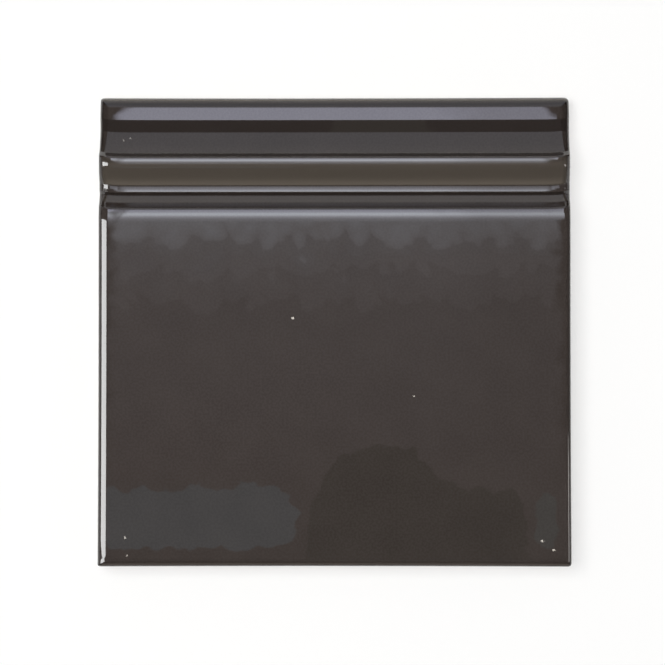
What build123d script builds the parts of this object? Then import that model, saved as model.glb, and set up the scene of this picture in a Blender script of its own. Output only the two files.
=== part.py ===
"""Moulded skirting tile: one fired slab, 6 inches square, lying on its back.

The frame has X along the skirting, +Y towards the top edge of the tile and +Z out of its face.
The origin is at the middle of the bedding plane, so the back lies on Z = 0.
All lengths are in millimetres.
"""

import os

from build123d import *

# Outline of the fired tile
TILE_LENGTH = 152.0
TILE_HEIGHT = 151.5
PLINTH_THICKNESS = 18.0

# Mouldings, each measured downwards from the one above it
SPLAY_WIDTH = 7.35
BACK_SLOPE_WIDTH = 4.0
CAVETTO_WIDTH = 7.05
RIDGE_RISER_WIDTH = 1.5
RIDGE_WIDTH = 9.1
LISTEL_WIDTH = 2.25
STEP_WIDTH = 0.9
SCOTIA_WIDTH = 2.75
PLINTH_RISER_WIDTH = 2.1

# How far each corner between two mouldings lies below the plinth face
TOP_EDGE_DROP = 7.8
CREST_DROP = 6.2
QUIRK_DROP = 6.65
CAVETTO_TOP_DROP = 2.85
SHOULDER_DROP = 0.62
VALLEY_DROP = 2.8
LISTEL_DROP = 2.66
STEP_FOOT_DROP = 3.75
SCOTIA_TOP_DROP = 2.35

# Bulge or hollow of each curved member, measured from its chord
SPLAY_SWELL = 0.05
BACK_SLOPE_SWELL = 0.05
CAVETTO_HOLLOW = 0.39
RIDGE_SWELL = 1.0
SCOTIA_HOLLOW = 0.13

# Roundings that the glaze leaves on the arrises and in the quirks
TOP_ARRIS_RADIUS = 1.9
CREST_RADIUS = 2.0
SHOULDER_RADIUS = 1.8
VALLEY_RADIUS = 0.6
LISTEL_RADIUS = 1.7
PLINTH_ARRIS_RADIUS = 4.5
BOTTOM_ARRIS_RADIUS = 1.7
QUIRK_RADIUS = 0.4
COVE_RADIUS = 2.0
END_ARRIS_RADIUS = 1.6

# Key grooves pressed into the back for the bedding mortar
GROOVE_COUNT = 6
GROOVE_WIDTH = 7.0
GROOVE_DEPTH = 1.2
GROOVE_SIDE_MARGIN = 14.0
GROOVE_END_MARGIN = 11.0

# Places down the face, from the top edge at +Y to the bottom edge at -Y
top_y = TILE_HEIGHT / 2
bottom_y = -TILE_HEIGHT / 2
crest_y = top_y - SPLAY_WIDTH
quirk_y = crest_y - BACK_SLOPE_WIDTH
cavetto_top_y = quirk_y - CAVETTO_WIDTH
shoulder_y = cavetto_top_y - RIDGE_RISER_WIDTH
valley_y = shoulder_y - RIDGE_WIDTH
listel_y = valley_y - LISTEL_WIDTH
step_foot_y = listel_y - STEP_WIDTH
scotia_top_y = step_foot_y - SCOTIA_WIDTH
plinth_y = scotia_top_y - PLINTH_RISER_WIDTH

# Corners of the section, as place down the face and height above the back
top_arris = (top_y, PLINTH_THICKNESS - TOP_EDGE_DROP)
crest = (crest_y, PLINTH_THICKNESS - CREST_DROP)
quirk = (quirk_y, PLINTH_THICKNESS - QUIRK_DROP)
cavetto_top = (cavetto_top_y, PLINTH_THICKNESS - CAVETTO_TOP_DROP)
ridge_shoulder = (shoulder_y, PLINTH_THICKNESS - SHOULDER_DROP)
valley = (valley_y, PLINTH_THICKNESS - VALLEY_DROP)
listel_arris = (listel_y, PLINTH_THICKNESS - LISTEL_DROP)
step_foot = (step_foot_y, PLINTH_THICKNESS - STEP_FOOT_DROP)
scotia_top = (scotia_top_y, PLINTH_THICKNESS - SCOTIA_TOP_DROP)
plinth_arris = (plinth_y, PLINTH_THICKNESS)
bottom_arris = (bottom_y, PLINTH_THICKNESS)

# Which corner of the section gets which rounding
corner_radii = {
    top_arris: TOP_ARRIS_RADIUS,
    crest: CREST_RADIUS,
    quirk: QUIRK_RADIUS,
    cavetto_top: COVE_RADIUS,
    ridge_shoulder: SHOULDER_RADIUS,
    valley: VALLEY_RADIUS,
    listel_arris: LISTEL_RADIUS,
    step_foot: QUIRK_RADIUS,
    scotia_top: COVE_RADIUS,
    plinth_arris: PLINTH_ARRIS_RADIUS,
    bottom_arris: BOTTOM_ARRIS_RADIUS,
}

groove_length = TILE_LENGTH - 2 * GROOVE_END_MARGIN
groove_pitch = (TILE_HEIGHT - 2 * GROOVE_SIDE_MARGIN - GROOVE_WIDTH) / (GROOVE_COUNT - 1)

with BuildPart() as tile:
    # The moulded section, looking along the skirting, drawn out to both ends
    with BuildSketch(Plane.YZ) as section:
        with BuildLine():
            Polyline((bottom_y, 0), (top_y, 0), top_arris)
            SagittaArc(top_arris, crest, -SPLAY_SWELL)
            SagittaArc(crest, quirk, -BACK_SLOPE_SWELL)
            SagittaArc(quirk, cavetto_top, CAVETTO_HOLLOW)
            Line(cavetto_top, ridge_shoulder)
            SagittaArc(ridge_shoulder, valley, -RIDGE_SWELL)
            Polyline(valley, listel_arris, step_foot)
            SagittaArc(step_foot, scotia_top, SCOTIA_HOLLOW)
            Polyline(scotia_top, plinth_arris, bottom_arris, (bottom_y, 0))
        make_face()
        for corner, radius in corner_radii.items():
            fillet(section.vertices().sort_by_distance(corner)[0], radius)
    extrude(amount=TILE_LENGTH / 2, both=True)

    # The arris round each end follows the mouldings from the bottom edge over to the top edge
    end_faces = tile.faces().filter_by(Axis.X)
    back_edges = tile.faces().sort_by(Axis.Z)[0].edges()
    end_arrises = [edge for edge in end_faces.edges() if edge not in back_edges]
    fillet(end_arrises, END_ARRIS_RADIUS)

    # Key grooves run along the back and stop short of both ends
    with BuildSketch(Plane.XY):
        with GridLocations(0, groove_pitch, 1, GROOVE_COUNT):
            SlotOverall(groove_length, GROOVE_WIDTH)
    extrude(amount=GROOVE_DEPTH, mode=Mode.SUBTRACT)

tile.part.label = "skirting_tile"
os.makedirs("parts", exist_ok=True)
export_step(tile.part, "parts/skirting_tile.step")
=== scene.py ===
"""Looks of the moulded skirting tile: crackle-glazed face, brown arrises, biscuit back, studio and camera.

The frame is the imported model's: X along the skirting, +Y to the thin top edge, +Z out of the face, in metres.
Sizes below are in millimetres, as a tile maker would give them, and MM turns them into metres.
"""

import math
from collections import namedtuple
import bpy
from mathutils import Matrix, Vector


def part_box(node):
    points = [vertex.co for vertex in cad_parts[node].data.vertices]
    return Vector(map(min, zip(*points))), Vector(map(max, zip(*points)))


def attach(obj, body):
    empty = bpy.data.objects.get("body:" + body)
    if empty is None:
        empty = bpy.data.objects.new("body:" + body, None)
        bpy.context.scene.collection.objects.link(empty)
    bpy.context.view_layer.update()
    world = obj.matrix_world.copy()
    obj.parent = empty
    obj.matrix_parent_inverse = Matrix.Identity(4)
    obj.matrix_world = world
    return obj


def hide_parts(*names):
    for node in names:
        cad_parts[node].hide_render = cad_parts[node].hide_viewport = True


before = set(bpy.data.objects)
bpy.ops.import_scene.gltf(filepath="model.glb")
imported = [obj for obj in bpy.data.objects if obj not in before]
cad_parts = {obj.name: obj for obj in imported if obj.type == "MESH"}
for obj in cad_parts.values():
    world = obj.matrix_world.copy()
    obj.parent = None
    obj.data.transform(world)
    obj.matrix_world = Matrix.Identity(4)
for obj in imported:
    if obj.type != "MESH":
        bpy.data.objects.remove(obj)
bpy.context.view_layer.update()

from types import SimpleNamespace

import bmesh
import bpy
import numpy as np
from mathutils import Vector, noise

MM = 0.001
tile_low, tile_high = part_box("skirting_tile")
TILE_LENGTH = (tile_high.x - tile_low.x) / MM
TILE_HEIGHT = (tile_high.y - tile_low.y) / MM
PLINTH_THICKNESS = (tile_high.z - tile_low.z) / MM

# Section of the mouldings, from the top edge down. Each corner has its distance down from the top edge, its drop
# below the plinth face and its glaze-softened radius, and then, for the run that follows it, the bulge (+) or
# hollow (-) and how the glaze lies: 1 is thin and breaks brown, 0 is full, -1 is pooled, which is partly real
# pooled glaze and partly painted shade in the hollows and on the steep walls.
Corner = namedtuple("Corner", "down drop radius swell lie")
SECTION = {
    "top arris": Corner(0.0, 7.8, 0.0, 0.0, 0.0),
    "crest": Corner(7.6, 6.2, 0.0, 0.0, -0.6),
    "quirk": Corner(11.6, 6.65, 0.0, -0.39, 0.0),
    "cavetto top": Corner(18.65, 2.85, 0.5, 0.0, -0.15),
    "ridge shoulder": Corner(20.17, 0.62, 1.0, 0.059, 0.5),
    "ridge crown": Corner(21.94, 0.36, 5.0, 0.653, 0.75),
    "valley": Corner(29.1, 2.8, 0.6, -0.04, 0.0),
    "listel arris": Corner(31.3, 2.66, 0.2, 0.0, -0.6),
    "step foot": Corner(32.3, 3.75, 0.0, -0.128, 0.5),
    "scotia top": Corner(34.8, 2.35, 0.5, 0.0, -0.35),
    "plinth arris": Corner(36.72, 0.5, 1.2, 0.1, 0.0),
    "plinth face": Corner(39.9, 0.0, 60.0, 0.0, 0.0),
    "bottom arris": Corner(TILE_HEIGHT, 0.0, 0.0, 0.0, 0.0),
}
VALLEY = SECTION["valley"].down
PLINTH = SECTION["plinth face"].down

# Roundings of the outer arris: on the moulded ends, on the plinth ends, on the top and the bottom edge
MOULDED_END_RADIUS = 3.2
PLINTH_LEFT_RADIUS = 2.8
PLINTH_RIGHT_RADIUS = 1.7
TOP_EDGE_RADIUS = 3.6
BOTTOM_EDGE_RADIUS = 1.6
# How square each corner is in plan, from 2 for a quarter circle upwards
CORNER_SQUARENESS = {"top left": 6.6, "top right": 4.3, "bottom left": 6.6, "bottom right": 3.1}

# Small departures from true that firing leaves: edges drawn in at the middle, a face that pillows towards its
# edges, and slow waves
WAIST = 0.17
EDGE_PILLOW = 0.03
EDGE_PILLOW_REACH = 6.0
WAVE_HEIGHT = 0.012
WAVE_LENGTH = 26.0
# At both ends the mouldings curl up towards the top edge and fall away, each fall given with its distance down
END_REACH = 2.2
END_CURL = 0.9
CURL_START = 6.0
CURL_END_BELOW_PLINTH = 6.0
END_FALLS = [(SECTION["quirk"].down, 0.16), (SECTION["cavetto top"].down, 0.09), (VALLEY, 0.09),
             (PLINTH - 3.0, 0.12), (PLINTH - 1.7, 0.12), (PLINTH + 0.3, 0.0)]
# Glaze that ran together in the valley at both ends
VALLEY_POOL = 0.09
VALLEY_POOL_HALF = 1.4
VALLEY_POOL_REACH = 5.0

# Key grooves in the back
GROOVE_COUNT = 6
GROOVE_WIDTH = 7.0
GROOVE_DEPTH = 1.2
GROOVE_SIDE_MARGIN = 14.0
GROOVE_END_MARGIN = 11.0

# How the glaze lies in a narrow rim round the outline, where the top rim breaks lighter brown, partly thin glaze
# and partly painted reflection of the floor, and the other rims are painted darker as shade; a painted dark line
# below the top arris, where it reflects the dim room; and how softly one lie passes into the next
RIM_WIDTH = 1.2
RIM_BLEND = 0.4
RIM_LIE_PAINTED_DARK = -0.4
TOP_RIM_LIE_AND_SHEEN = 1.0
# Painted dark line below the top arris, for the dim room that it reflects
TOP_PAINTED_DARK_PLACE = 2.3
TOP_PAINTED_DARK_HALF = 1.0
TOP_PAINTED_DARK_LIE = -0.9
RUN_BLEND = 0.7
# How far down each edge the glaze ran, above the back
GLAZE_LINE = 4.0
# Pale pinholes and specks that stand out on the glaze: place on the face and diameter
SPECKS = [(-13.2, 3.9, 0.7), (25.5, -21.2, 0.8), (66.6, -67.4, 1.0), (70.2, -70.3, 0.9),
          (-66.9, -66.5, 0.8), (-66.3, -72.2, 0.7), (-65.8, 62.3, 0.7), (-68.1, 61.4, 0.6)]

# How finely the tile is meshed: spacings along it, down the mouldings and down the plinth, and counts of steps
ALONG_SPACING = 1.0
MOULDING_SPACING = 0.16
PLINTH_SPACING = 1.1
FINE_BELOW_PLINTH = 3.0
RUN_STEPS = 60
END_STEPS = 18
EDGE_STEPS = 16
WALL_STEPS = 8
GROOVE_END_STEPS = 10


def section_curve():
    """Distances down from the top edge, heights, and the places of the sharp quirks, in millimetres."""
    corners = list(SECTION.values())
    # Each run between two corners has its length and its tilt at the start and at the end
    runs = []
    for corner, following in zip(corners, corners[1:]):
        width = following.down - corner.down
        rise = corner.drop - following.drop
        chord = math.hypot(width, rise)
        tilt = math.atan2(rise, width)
        half = 2 * math.atan(2 * corner.swell / chord)
        length = chord * half / math.sin(half) if half else chord
        runs.append(SimpleNamespace(length=length, start=tilt + half, end=tilt - half))
    # A rounded corner takes its tangents from the runs on both sides
    pieces = []
    sharp = []
    for run, following, corner in zip(runs, runs[1:], corners[1:]):
        tangent = corner.radius * math.tan(abs(following.start - run.end) / 2)
        run.end -= (run.end - run.start) * tangent / run.length
        following.start += (following.end - following.start) * tangent / following.length
        run.length -= tangent
        following.length -= tangent
        pieces.append(run)
        if corner.radius:
            turn = following.start - run.end
            pieces.append(SimpleNamespace(length=tangent * turn / math.tan(turn / 2),
                                          start=run.end, end=following.start))
        else:
            sharp.append(len(pieces))
    pieces.append(runs[-1])
    share = (np.arange(RUN_STEPS) + 0.5) / RUN_STEPS
    lengths = np.concatenate([np.full(RUN_STEPS, piece.length / RUN_STEPS) for piece in pieces])
    tilts = np.concatenate([piece.start + (piece.end - piece.start) * share for piece in pieces])
    depths = np.concatenate([[0.0], np.cumsum(lengths * np.cos(tilts))])
    heights = np.concatenate([[0.0], np.cumsum(lengths * np.sin(tilts))])
    # The small error of closure is spread over the whole curve
    passed = np.concatenate([[0.0], np.cumsum(lengths)]) / lengths.sum()
    top_drop = corners[0].drop
    depths += passed * (TILE_HEIGHT - depths[-1])
    heights += PLINTH_THICKNESS - top_drop + passed * (top_drop - heights[-1])
    heights -= max(0.0, heights.max() - PLINTH_THICKNESS)
    return depths, heights, [depths[count * RUN_STEPS] for count in sharp]


def graded(*spans):
    """Places from one span to the next, each span given as (start, end, spacing)."""
    places = []
    for start, end, spacing in spans:
        count = max(1, round((end - start) / spacing))
        places.extend(start + (end - start) * np.arange(count) / count)
    places.append(spans[-1][1])
    return np.array(places)


def arris_places(reach, count):
    """Places from an edge inwards, crowded at the edge so that a quarter round has even steps."""
    return reach * (1 - np.cos(np.linspace(0, math.pi / 2, count)))


def glaze_lie_and_shade_at(d, from_end, from_edge):
    """How the glaze lies at distances down the face, with painted shade in the hollows and on the rims and painted
    sheen on the top rim, blended where one run meets the next.
    """
    lie = np.zeros_like(d)
    before = 0.0
    for corner in SECTION.values():
        lie += (corner.lie - before) * np.clip((d - corner.down) / RUN_BLEND + 0.5, 0, 1)
        before = corner.lie
    # The top rim breaks lighter brown, partly as painted reflection of the floor, and the other rims are painted
    # darker as shade
    rim = np.where((d < TILE_HEIGHT / 2) & (d < from_end), TOP_RIM_LIE_AND_SHEEN, RIM_LIE_PAINTED_DARK)
    lie += (rim - lie) * np.clip((RIM_WIDTH - np.minimum(from_end, from_edge)) / RIM_BLEND + 0.5, 0, 1)
    # A painted dark line below the top arris, for the dim room that it reflects
    lie += TOP_PAINTED_DARK_LIE * np.clip(1 - np.abs(d - TOP_PAINTED_DARK_PLACE) / TOP_PAINTED_DARK_HALF, 0, 1)
    return lie


def glazed_face():
    """Corner points of the moulded face as a grid, how the glaze lies there with its painted shade and sheen, and
    the rows that are quirks.
    """
    depths, heights, quirks = section_curve()
    end = arris_places(MOULDED_END_RADIUS, END_STEPS)
    across = np.concatenate([end[:-1], graded((end[-1], TILE_LENGTH - end[-1], ALONG_SPACING))[:-1],
                             (TILE_LENGTH - end)[::-1]])
    fine_end = PLINTH + FINE_BELOW_PLINTH
    down = np.concatenate([arris_places(TOP_EDGE_RADIUS, EDGE_STEPS)[:-1],
                           graded((TOP_EDGE_RADIUS, fine_end, MOULDING_SPACING),
                                  (fine_end, TILE_HEIGHT - BOTTOM_EDGE_RADIUS, PLINTH_SPACING))[:-1],
                           (TILE_HEIGHT - arris_places(BOTTOM_EDGE_RADIUS, EDGE_STEPS))[::-1]])
    for quirk in quirks:
        down[np.argmin(np.abs(down - quirk))] = quirk
    a, d = np.meshgrid(across, down, indexing="ij")
    from_end = np.minimum(a, TILE_LENGTH - a)
    from_edge = np.minimum(d, TILE_HEIGHT - d)
    left = a < TILE_LENGTH / 2
    upper = d < TILE_HEIGHT / 2

    # u and v say how far round the arris a point is, from 0 on the face to 1 on the outline
    plinth_share = np.clip((d - VALLEY) / (PLINTH - VALLEY), 0, 1)
    plinth_radius = np.where(left, PLINTH_LEFT_RADIUS, PLINTH_RIGHT_RADIUS)
    end_radius = MOULDED_END_RADIUS + (plinth_radius - MOULDED_END_RADIUS) * plinth_share
    edge_radius = np.where(upper, TOP_EDGE_RADIUS, BOTTOM_EDGE_RADIUS)
    u = np.clip(1 - from_end / end_radius, 0, 1)
    v = np.clip(1 - from_edge / edge_radius, 0, 1)
    round_share = np.maximum(u, v)
    square = CORNER_SQUARENESS
    squareness = np.where(upper, np.where(left, square["top left"], square["top right"]),
                          np.where(left, square["bottom left"], square["bottom right"]))
    norm = (u ** squareness + v ** squareness) ** (1 / squareness)
    nothing = 1e-9
    pull = np.where(norm > 0, round_share / np.maximum(norm, nothing), 1)
    x = TILE_LENGTH / 2 - np.where(u > 0, end_radius * (1 - u * pull), from_end)
    y = TILE_HEIGHT / 2 - np.where(v > 0, edge_radius * (1 - v * pull), from_edge)
    x *= np.where(left, -1, 1)
    y *= np.where(upper, 1, -1)
    drop_radius = (end_radius * u ** 2 + edge_radius * v ** 2) / np.maximum(u ** 2 + v ** 2, nothing)
    arris_fall = drop_radius * (1 - np.sqrt(np.clip(1 - round_share ** 2, 0, 1)))

    # Glaze fills the valley a little at both ends
    profile = np.interp(d, depths, heights)
    pool = np.interp(VALLEY, depths, heights) + VALLEY_POOL
    pooled = (np.abs(d - VALLEY) < VALLEY_POOL_HALF) & (from_end < VALLEY_POOL_REACH)
    profile = np.where(pooled, np.maximum(profile, pool), profile)

    # What the firing did to the ends, the edges and the face
    near_end = np.exp(-from_end / END_REACH)
    near_end *= np.clip((PLINTH + CURL_END_BELOW_PLINTH - d) / CURL_END_BELOW_PLINTH, 0, 1)
    z = profile - arris_fall - np.interp(d, *zip(*END_FALLS)) * near_end
    y += END_CURL * near_end * np.clip(d / CURL_START, 0, 1)
    z -= EDGE_PILLOW * (np.exp(-from_end / EDGE_PILLOW_REACH) + np.exp(-from_edge / EDGE_PILLOW_REACH))
    wave = np.array([noise.noise(Vector((px / WAVE_LENGTH, py / WAVE_LENGTH, 0.0)))
                     for px, py in zip(x.ravel(), y.ravel())]).reshape(x.shape)
    z += WAVE_HEIGHT * (wave - 1)
    x -= np.sign(x) * WAIST * (1 - (2 * y / TILE_HEIGHT) ** 2) * (2 * np.abs(x) / TILE_LENGTH) ** 4
    y -= np.sign(y) * WAIST * (1 - (2 * x / TILE_LENGTH) ** 2) * (2 * np.abs(y) / TILE_HEIGHT) ** 4
    quirk_rows = [int(np.argmin(np.abs(down - quirk))) for quirk in quirks]
    return x, y, z, glaze_lie_and_shade_at(d, from_end, from_edge), quirk_rows


def rounded_slot(centre_y, length, width):
    """Outline of one key groove, anticlockwise, in millimetres."""
    points = []
    for side in (1, -1):
        for i in range(GROOVE_END_STEPS + 1):
            turn = math.pi * (i / GROOVE_END_STEPS - 0.5)
            points.append((side * ((length - width) / 2 + width / 2 * math.cos(turn)),
                           centre_y + side * width / 2 * math.sin(turn)))
    return points


def next_to(ring):
    """Each corner of a closed ring with the one after it."""
    return zip(ring, ring[1:] + ring[:1])


def wall_between(mesh, upper, lower):
    """Faces between two closed rings of corners."""
    return [mesh.faces.new((u0, u1, l1, l0)) for (u0, u1), (l0, l1) in zip(next_to(upper), next_to(lower))]


def keyed_back(mesh, outline):
    """The flat back inside the outline, with the key grooves let into it."""
    loops = [mesh.edges.get(pair) for pair in next_to(outline)]
    for edge in loops:
        edge.smooth = False
    pitch = (TILE_HEIGHT - 2 * GROOVE_SIDE_MARGIN - GROOVE_WIDTH) / (GROOVE_COUNT - 1)
    groove_length = TILE_LENGTH - 2 * GROOVE_END_MARGIN
    groove_rims = []
    for g in range(GROOVE_COUNT):
        slot = rounded_slot((g - (GROOVE_COUNT - 1) / 2) * pitch, groove_length, GROOVE_WIDTH)
        rim = [mesh.verts.new((px * MM, py * MM, 0.0)) for px, py in slot]
        groove_rims.append(rim)
        loops += [mesh.edges.new(pair) for pair in next_to(rim)]
    filled = bmesh.ops.triangle_fill(mesh, edges=loops, use_beauty=True, normal=(0, 0, -1))["geom"]
    faces = [made for made in filled if isinstance(made, bmesh.types.BMFace)]
    for rim in groove_rims:
        bed = [mesh.verts.new((corner.co.x, corner.co.y, GROOVE_DEPTH * MM)) for corner in rim]
        faces += wall_between(mesh, rim, bed)
        faces.append(mesh.faces.new(bed))
    return faces


def build_tile():
    """The whole fired piece as one closed mesh: face, edges, back and its key grooves."""
    x, y, z, lie, quirk_rows = glazed_face()
    columns, rows = x.shape
    mesh = bmesh.new()
    # The glaze's lie, with its painted shade and sheen, goes to the material as an attribute
    lie_and_shade_layer = mesh.verts.layers.float.new("glaze_lie_and_shade")
    grid = []
    for i in range(columns):
        grid.append([])
        for j in range(rows):
            corner = mesh.verts.new((x[i, j] * MM, y[i, j] * MM, z[i, j] * MM))
            corner[lie_and_shade_layer] = lie[i, j]
            grid[i].append(corner)
    for i in range(columns - 1):
        for j in range(rows - 1):
            mesh.faces.new((grid[i][j], grid[i][j + 1], grid[i + 1][j + 1], grid[i + 1][j]))
    for j in quirk_rows:
        for i in range(columns - 1):
            mesh.edges.get((grid[i][j], grid[i + 1][j])).smooth = False
    # Edge walls go straight down from the outline to the back
    ring = [grid[i][0] for i in range(columns)]
    ring += [grid[columns - 1][j] for j in range(1, rows)]
    ring += [grid[i][rows - 1] for i in range(columns - 2, -1, -1)]
    ring += [grid[0][j] for j in range(rows - 2, 0, -1)]
    upper = ring
    for step in range(1, WALL_STEPS + 1):
        lower = []
        for corner in ring:
            lower.append(mesh.verts.new((corner.co.x, corner.co.y, corner.co.z * (1 - step / WALL_STEPS))))
            lower[-1][lie_and_shade_layer] = 1.0
        wall_between(mesh, upper, lower)
        upper = lower
    for face in keyed_back(mesh, upper):
        face.material_index = 1
    bmesh.ops.recalc_face_normals(mesh, faces=mesh.faces)
    for face in mesh.faces:
        face.smooth = face.material_index == 0
    data = bpy.data.meshes.new("glazed_tile")
    mesh.to_mesh(data)
    mesh.free()
    tile = bpy.data.objects.new("glazed_tile", data)
    bpy.context.scene.collection.objects.link(tile)
    return tile


def srgb(code, alpha=1.0):
    """A hex colour as linear red, green, blue and alpha."""
    parts = [int(code[i:i + 2], 16) / 255 for i in (1, 3, 5)]
    return [c / 12.92 if c <= 0.04045 else ((c + 0.055) / 1.055) ** 2.4 for c in parts] + [alpha]


def add(tree, kind, inputs=None, stops=(), **settings):
    """One node with its settings.

    inputs maps socket names or numbers to values or to other nodes' sockets, and stops are a colour ramp's
    (position, linear colour).
    """
    made = tree.nodes.new(kind)
    for name, value in settings.items():
        setattr(made, name, value)
    for name, value in (inputs or {}).items():
        if isinstance(value, bpy.types.NodeSocket):
            tree.links.new(value, made.inputs[name])
        else:
            made.inputs[name].default_value = value
    if stops:
        elements = made.color_ramp.elements
        while len(elements) < len(stops):
            elements.new(0.5)
        for element, (position, colour) in zip(elements, stops):
            element.position = position
            element.color = colour
    return made


def new_material(name):
    """An empty material and its node tree."""
    material = bpy.data.materials.new(name)
    material.use_nodes = True
    material.node_tree.nodes.clear()
    return material, material.node_tree


def crazed_normal(tree, millimetres):
    """The direction of the face, broken into facets.

    Each crazed cell is bent like a low tent, from its border up to its middle, and leans its own way, so that a
    reflected edge breaks into a zigzag. Lean and bend are slopes.
    """
    # How far inside its cell a point is on average, as a share of the cell's size
    mean_gap = 0.17
    normal = add(tree, "ShaderNodeNewGeometry").outputs["Normal"]
    for cell_size, lean, bend in ((12.0, 0.0010, 0.0060), (6.0, 0.0006, 0.0028)):
        size = {"Vector": millimetres, "Scale": 1 / cell_size}
        cell = add(tree, "ShaderNodeTexVoronoi", size, voronoi_dimensions="2D", feature="F1")
        border = add(tree, "ShaderNodeTexVoronoi", size, voronoi_dimensions="2D", feature="DISTANCE_TO_EDGE")
        middle = 0.5 + mean_gap * bend / lean
        leaning = add(tree, "ShaderNodeVectorMath", {0: cell.outputs["Color"], 1: (middle, middle, 0.5)},
                      operation="SUBTRACT")
        leaning = add(tree, "ShaderNodeVectorMath", {0: leaning.outputs[0], "Scale": lean}, operation="SCALE")
        facet = add(tree, "ShaderNodeVectorMath", {0: border.outputs["Distance"], 1: (bend, bend, 0.0),
                                                   2: leaning.outputs[0]}, operation="MULTIPLY_ADD")
        normal = add(tree, "ShaderNodeVectorMath", {0: normal, 1: facet.outputs[0]}, operation="ADD").outputs[0]
    return add(tree, "ShaderNodeVectorMath", {0: normal}, operation="NORMALIZE").outputs[0]


def glaze_colour(tree, millimetres):
    """Charcoal that breaks brown where the glaze is thin, partly as painted sheen on the top rim, and is nearly
    black where it pooled and where painted shade darkens the hollows, steep walls and rims, with pale specks.
    """
    thinness_and_shade = add(tree, "ShaderNodeAttribute", attribute_name="glaze_lie_and_shade").outputs["Fac"]
    # Body colour with a cloudy mottle and fine iron speckle
    mottle_size = 14.0
    mottle = add(tree, "ShaderNodeTexNoise", {"Vector": millimetres, "Scale": 1 / mottle_size, "Detail": 3.0},
                 noise_dimensions="2D")
    body = add(tree, "ShaderNodeValToRGB", {"Fac": mottle.outputs["Fac"]},
               [(0.3, srgb("#342E2B")), (0.7, srgb("#37312E"))])
    speckle_size = 0.7
    speckle = add(tree, "ShaderNodeTexNoise", {"Vector": millimetres, "Scale": 1 / speckle_size, "Detail": 0.0},
                  noise_dimensions="2D")
    speckle = add(tree, "ShaderNodeMapRange", {"Value": speckle.outputs["Fac"], "From Min": 0.3, "From Max": 0.7,
                                               "To Min": -0.02, "To Max": 0.02})
    body = add(tree, "ShaderNodeMix", {"Factor": 0.12, "A": body.outputs["Color"], "B": speckle.outputs[0]},
               data_type="RGBA", blend_type="ADD")
    # Thin glaze breaks brown; on the top rim this is partly a painted reflection of the floor
    breaking_and_sheen = add(tree, "ShaderNodeMapRange", {"Value": thinness_and_shade, "From Min": 0.15, "From Max": 0.9})
    colour = add(tree, "ShaderNodeMix", {"Factor": breaking_and_sheen.outputs[0], "A": body.outputs["Result"],
                                         "B": srgb("#4A443D")}, data_type="RGBA")
    # Pooled glaze, darkened further by painted shade in the hollows, on the steep walls and rims, and a painted
    # dark line below the top arris
    pooling_and_shade = add(tree, "ShaderNodeMapRange", {"Value": thinness_and_shade, "From Min": -0.1, "From Max": -0.8})
    colour = add(tree, "ShaderNodeMix", {"Factor": pooling_and_shade.outputs[0], "A": colour.outputs["Result"],
                                         "B": srgb("#26211F")}, data_type="RGBA")
    # Single pinholes with pale, ragged rims
    ragged_size = 0.6
    raggedness = 0.9
    ragged = add(tree, "ShaderNodeTexNoise", {"Vector": millimetres, "Scale": 1 / ragged_size, "Detail": 0.0},
                 noise_dimensions="2D")
    ragged = add(tree, "ShaderNodeVectorMath", {0: ragged.outputs["Color"], 1: (raggedness, raggedness, 0.0),
                                                2: millimetres}, operation="MULTIPLY_ADD")
    ragged = add(tree, "ShaderNodeVectorMath", {0: ragged.outputs[0], 1: (1.0, 1.0, 0.0)}, operation="MULTIPLY")
    for px, py, diameter in SPECKS:
        centre = (px + raggedness / 2, py + raggedness / 2, 0.0)
        gap = add(tree, "ShaderNodeVectorMath", {0: ragged.outputs[0], 1: centre}, operation="DISTANCE")
        speck = add(tree, "ShaderNodeMapRange", {"Value": gap.outputs["Value"], "From Min": diameter / 2,
                                                 "From Max": diameter / 4})
        colour = add(tree, "ShaderNodeMix", {"Factor": speck.outputs[0], "A": colour.outputs["Result"],
                                             "B": srgb("#CFC9C0")}, data_type="RGBA")
    return colour.outputs["Result"]


def crackle_glaze():
    """Charcoal crackle glaze, fired glossy: dark glass that crazes into facets and breaks brown on the arrises."""
    material, tree = new_material("crackle_glaze_fired_gloss")
    place = add(tree, "ShaderNodeTexCoord").outputs["Object"]
    millimetres = add(tree, "ShaderNodeVectorMath", {0: place, "Scale": 1 / MM}, operation="SCALE").outputs[0]
    # The glaze ends in an uneven line down the edges, over bare biscuit
    drip_size = 9.0
    drip_height = 5.0
    line = GLAZE_LINE + drip_height / 2
    line_half = 0.1
    height = add(tree, "ShaderNodeSeparateXYZ", {0: millimetres}).outputs["Z"]
    drips = add(tree, "ShaderNodeTexNoise", {"Vector": millimetres, "Scale": 1 / drip_size, "Detail": 3.0})
    drips = add(tree, "ShaderNodeMath", {0: drips.outputs["Fac"], 1: drip_height, 2: height},
                operation="MULTIPLY_ADD")
    bare = add(tree, "ShaderNodeMapRange", {"Value": drips.outputs[0], "From Min": line + line_half,
                                            "From Max": line - line_half})
    colour = add(tree, "ShaderNodeMix", {"Factor": bare.outputs[0], "A": glaze_colour(tree, millimetres),
                                         "B": srgb("#BEB19D")}, data_type="RGBA")
    gloss = add(tree, "ShaderNodeMapRange", {"Value": bare.outputs[0], "To Min": 0.014, "To Max": 0.85})
    shader = add(tree, "ShaderNodeBsdfPrincipled", {"Base Color": colour.outputs["Result"],
                                                    "Roughness": gloss.outputs[0], "IOR": 1.5,
                                                    "Normal": crazed_normal(tree, millimetres)})
    add(tree, "ShaderNodeOutputMaterial", {"Surface": shader.outputs[0]})
    return material


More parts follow.
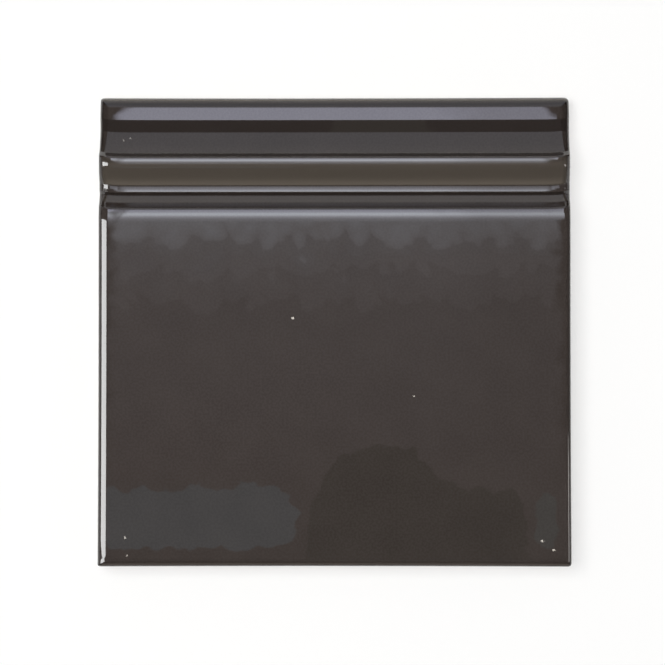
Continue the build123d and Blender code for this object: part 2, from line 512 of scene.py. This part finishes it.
def biscuit():
    """Unglazed earthenware biscuit, pressed dry and fired: pale, chalky and quite matt."""
    material, tree = new_material("earthenware_biscuit_unglazed")
    grit_size = 0.6
    place = add(tree, "ShaderNodeTexCoord").outputs["Object"]
    grit = add(tree, "ShaderNodeTexNoise", {"Vector": place, "Scale": 1 / (grit_size * MM), "Detail": 3.0})
    colour = add(tree, "ShaderNodeValToRGB", {"Fac": grit.outputs["Fac"]},
                 [(0.3, srgb("#B5A793")), (0.7, srgb("#D2C7B5"))])
    shader = add(tree, "ShaderNodeBsdfPrincipled", {"Base Color": colour.outputs["Color"], "Roughness": 0.85})
    add(tree, "ShaderNodeOutputMaterial", {"Surface": shader.outputs[0]})
    return material


def studio_sheet(name, corners, material, gloss_only=True):
    """A flat sheet of the studio through the given corners, in millimetres."""
    data = bpy.data.meshes.new(name)
    data.from_pydata([[c * MM for c in corner] for corner in corners], [], [range(len(corners))])
    data.materials.append(material)
    made = bpy.data.objects.new(name, data)
    bpy.context.scene.collection.objects.link(made)
    if gloss_only:
        made.visible_camera = False
        made.visible_diffuse = False
        made.visible_shadow = False


def pale_floor():
    """Seamless white paper: the camera sees it as white, and it keeps the tile's soft shadow."""
    material, tree = new_material("seamless_white_paper")
    white_share = 0.6
    paper = add(tree, "ShaderNodeBsdfDiffuse", {"Color": srgb("#FEFEFD")})
    glow = add(tree, "ShaderNodeEmission", {"Strength": 1.0})
    seen = add(tree, "ShaderNodeLightPath")
    share = add(tree, "ShaderNodeMath", {0: seen.outputs["Is Camera Ray"], 1: white_share}, operation="MULTIPLY")
    mixed = add(tree, "ShaderNodeMixShader", {0: share.outputs[0], 1: paper.outputs[0], 2: glow.outputs[0]})
    add(tree, "ShaderNodeOutputMaterial", {"Surface": mixed.outputs[0]})
    reach = 3000.0
    level = tile_low.z / MM - 0.1
    corners = [(-reach, -reach, level), (reach, -reach, level), (reach, reach, level), (-reach, reach, level)]
    studio_sheet("floor", corners, material, gloss_only=False)


def reflected_card(name, points, brightness):
    """A level card beside the camera, one metre up, that only the gloss shows."""
    card_height = 1000.0
    material, tree = new_material(name)
    glow = add(tree, "ShaderNodeEmission", {"Color": (*brightness, 1.0), "Strength": 1.0})
    add(tree, "ShaderNodeOutputMaterial", {"Surface": glow.outputs[0]})
    studio_sheet(name, [(px, py, card_height) for px, py in points], material)


def flag(name, x, top):
    """A black card stood beside the top moulding, which keeps the strip lamps out of its gloss."""
    material, tree = new_material("black_card")
    matt = add(tree, "ShaderNodeBsdfDiffuse", {"Color": srgb("#0C0C0C")})
    add(tree, "ShaderNodeOutputMaterial", {"Surface": matt.outputs[0]})
    near, far, foot = 60.0, 90.0, 5.0
    studio_sheet(name, [(x, near, foot), (x, far, foot), (x, far, top), (x, near, top)], material)


def oval(centre_x, centre_y, half_width, half_depth, squareness, count=40):
    """Corners of an oval, squarer for a higher squareness."""
    points = []
    for i in range(count):
        cosine, sine = math.cos(2 * math.pi * i / count), math.sin(2 * math.pi * i / count)
        points.append((centre_x + half_width * math.copysign(abs(cosine) ** (2 / squareness), cosine),
                       centre_y + half_depth * math.copysign(abs(sine) ** (2 / squareness), sine)))
    return points


# The room as the gloss shows it: sine of the angle from straight up towards the top edge, and brightness
ROOM = [(-1.0, (1.00, 0.88, 0.76)), (-0.95, (1.30, 1.12, 0.95)), (-0.87, (1.05, 0.90, 0.74)),
        (-0.75, (0.45, 0.40, 0.33)), (-0.6, (0.20, 0.18, 0.15)), (-0.3, (0.12, 0.11, 0.09)),
        (-0.13, (0.10, 0.09, 0.09)), (-0.07, (0.34, 0.30, 0.28)), (-0.03, (0.45, 0.39, 0.38)),
        (0.0, (0.52, 0.47, 0.48)), (0.034, (0.60, 0.56, 0.59)), (0.044, (0.75, 0.72, 0.77)),
        (0.054, (0.96, 0.94, 1.00)), (0.056, (1.42, 1.48, 1.66)), (0.0615, (1.78, 1.86, 2.06)),
        (0.075, (1.95, 2.02, 2.25)), (0.105, (2.1, 2.15, 2.4)), (0.14, (2.4, 2.45, 2.8)),
        (0.175, (3.0, 3.1, 3.5)), (0.21, (3.9, 4.0, 4.5)), (0.245, (5.2, 5.3, 6.0)),
        (0.285, (7.2, 7.6, 8.4)), (0.36, (7.6, 8.1, 9.0)), (0.42, (5.6, 5.8, 6.7)),
        (0.50, (4.2, 4.3, 5.3)), (0.59, (3.5, 3.6, 4.4)), (0.605, (0.80, 0.86, 1.00)),
        (0.9, (0.82, 0.86, 0.96)), (1.0, (0.95, 0.95, 1.00))]
BRIGHTEST = 9.0
# Sharp borders across its bright wall, as the same sine, and the share of the wall's light that is lost below each
WALL_BORDERS = ((0.0345, 0.11), (0.0395, 0.05), (0.0443, 0.15), (0.0505, 0.06), (0.0545, 0.24))
BORDER_HALF = 0.0002
# Where the wall starts and stops, and the dim room past both its ends
WALL_FOOT = -0.02
WALL_TOP = 0.6
BEYOND_WALL = (0.24, 0.21, 0.20)
# Sideways sines between which the wall comes in at each end, and between which its right part dims
WALL_LEFT = (-0.0895, -0.083)
WALL_RIGHT = (0.0635, 0.0585)
WALL_DIMS = (0.020, 0.034)
WALL_DIMMED = 0.78
# The wall narrows a little upwards: the sideways sine is multiplied by the first, plus the second times the height
WALL_WIDTH = 0.925
WALL_NARROWING = 0.25


def studio_world():
    """A soft studio: even light all round, and in the gloss a bright wall beyond the top edge and a dim room."""
    world = bpy.data.worlds.new("studio")
    world.use_nodes = True
    bpy.context.scene.world = world
    tree = world.node_tree
    tree.nodes.clear()
    way = add(tree, "ShaderNodeTexCoord").outputs["Generated"]
    parts = add(tree, "ShaderNodeSeparateXYZ", {0: way}).outputs
    along = add(tree, "ShaderNodeMapRange", {"Value": parts["Y"], "From Min": -1.0, "From Max": 1.0})
    past_ends = [(sine, BEYOND_WALL if WALL_FOOT < sine < WALL_TOP else colour) for sine, colour in ROOM]
    ramps = []
    for stops in (ROOM, past_ends):
        # What the borders take away below them is made up for, because a colour ramp alone would blur them
        evened = []
        for sine, colour in stops:
            share = 1 - sum(loss for border, loss in WALL_BORDERS if sine < border)
            evened.append(((sine + 1) / 2, (*(c / share / BRIGHTEST for c in colour), 1.0)))
        ramps.append(add(tree, "ShaderNodeValToRGB", {"Fac": along.outputs[0]}, evened).outputs["Color"])
    level = BRIGHTEST * (1 - sum(loss for _, loss in WALL_BORDERS))
    for border, loss in WALL_BORDERS:
        step = add(tree, "ShaderNodeMapRange", {"Value": parts["Y"], "From Min": border - BORDER_HALF,
                                                "From Max": border + BORDER_HALF, "To Max": loss * BRIGHTEST})
        level = add(tree, "ShaderNodeMath", {0: step.outputs[0], 1: level}, operation="ADD").outputs[0]
    # The wall's two ends, and its dimmer right part
    narrowing = add(tree, "ShaderNodeMath", {0: parts["Y"], 1: WALL_NARROWING, 2: WALL_WIDTH},
                    operation="MULTIPLY_ADD")
    sideways = add(tree, "ShaderNodeMath", {0: parts["X"], 1: narrowing.outputs[0]}, operation="MULTIPLY")
    inside = 1.0
    for (start, end), (before, after) in ((WALL_LEFT, (0.0, 1.0)), (WALL_RIGHT, (0.0, 1.0)),
                                          (WALL_DIMS, (1.0, WALL_DIMMED))):
        part = add(tree, "ShaderNodeMapRange", {"Value": sideways.outputs[0], "From Min": start, "From Max": end,
                                                "To Min": before, "To Max": after})
        inside = add(tree, "ShaderNodeMath", {0: part.outputs[0], 1: inside}, operation="MULTIPLY").outputs[0]
    seen_room = add(tree, "ShaderNodeMix", {"Factor": inside, "A": ramps[1], "B": ramps[0]}, data_type="RGBA")
    room = add(tree, "ShaderNodeBackground", {"Color": seen_room.outputs["Result"], "Strength": level})
    even = add(tree, "ShaderNodeBackground", {"Color": srgb("#FFFFFF"), "Strength": 0.25})
    white = add(tree, "ShaderNodeBackground", {"Color": srgb("#FFFFFF"), "Strength": 1.0})
    seen = add(tree, "ShaderNodeLightPath").outputs
    lit = add(tree, "ShaderNodeMixShader", {0: seen["Is Glossy Ray"], 1: even.outputs[0], 2: room.outputs[0]})
    mixed = add(tree, "ShaderNodeMixShader", {0: seen["Is Camera Ray"], 1: lit.outputs[0], 2: white.outputs[0]})
    add(tree, "ShaderNodeOutputWorld", {"Surface": mixed.outputs[0]})


def softbox(name, aim, toward, distance, width, depth, brightness, colour, in_gloss):
    """A soft lamp facing the tile, seen either in the gloss or as plain light.

    aim is the point that it faces, toward its direction from there as (x, y) degrees from straight up, width runs
    level and depth up its slope, all in metres.
    """
    data = bpy.data.lights.new(name, "AREA")
    data.shape = "RECTANGLE"
    data.size = width
    data.size_y = depth
    # Brightness is the lamp's radiance, where white paper in full light has 1
    data.energy = brightness * math.pi * width * depth
    data.color = colour
    lamp = bpy.data.objects.new(name, data)
    slope = Vector((math.tan(math.radians(toward[0])), math.tan(math.radians(toward[1])), 1.0)).normalized()
    lamp.location = Vector(aim) + slope * distance
    lamp.rotation_euler = slope.to_track_quat("Z", "Y").to_euler()
    lamp.visible_camera = False
    lamp.visible_diffuse = not in_gloss
    lamp.visible_glossy = in_gloss
    bpy.context.scene.collection.objects.link(lamp)


def studio_camera():
    """Looking straight down on the tile from 1 m, as nearly square on as the photograph is."""
    picture_pixels = 665
    focal_pixels = 3065.9
    shift_pixels = (-0.14, 0.12)
    turn_degrees = (1.450, 0.790, -0.006)
    data = bpy.data.cameras.new("camera")
    data.sensor_width = 36.0
    data.lens = data.sensor_width * focal_pixels / picture_pixels
    data.shift_x, data.shift_y = (pixels / picture_pixels for pixels in shift_pixels)
    camera = bpy.data.objects.new("camera", data)
    camera.location = (0.01307, -0.02568, 1.0)
    camera.rotation_euler = [math.radians(turn) for turn in turn_degrees]
    bpy.context.scene.collection.objects.link(camera)
    bpy.context.scene.camera = camera


bpy.context.scene.view_settings.view_transform = "Standard"
tile = build_tile()
tile.data.materials.append(crackle_glaze())
tile.data.materials.append(biscuit())
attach(tile, "root")
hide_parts("skirting_tile")

pale_floor()
studio_world()
left_end = (tile_low.x, 0.0, tile_high.z)
right_end = (tile_high.x, 0.0, tile_high.z)
softbox("key_above", aim=(0, 0, 0), toward=(-9, 2), distance=1.2, width=0.45, depth=0.55,
        brightness=15.4, colour=(1.0, 0.99, 0.98), in_gloss=False)
softbox("strip_left", aim=left_end, toward=(-42, 1), distance=3.0, width=0.56, depth=3.8,
        brightness=14.5, colour=(0.99, 1.0, 1.0), in_gloss=True)
softbox("strip_right", aim=right_end, toward=(60, -7), distance=3.0, width=0.24, depth=1.0,
        brightness=6.0, colour=(1.0, 0.97, 0.94), in_gloss=True)
flag("flag_left", x=-90.0, top=190.0)
flag("flag_right", x=90.0, top=60.0)
reflected_card("pale_card", oval(-111, -97, 75, 22, squareness=4.0), (0.58, 0.69, 0.77))
reflected_card("dark_stand", [(-34, -215), (-30, -100), (-21, -76), (-10, -56), (-2, -51), (40, -51), (46, -60),
                              (52, -70), (72, -77), (98, -76), (110, -86), (114, -215)], (0.24, 0.24, 0.21))
reflected_card("faint_card", oval(125, -100, 8, 19, squareness=4.0), (0.50, 0.57, 0.57))
studio_camera()
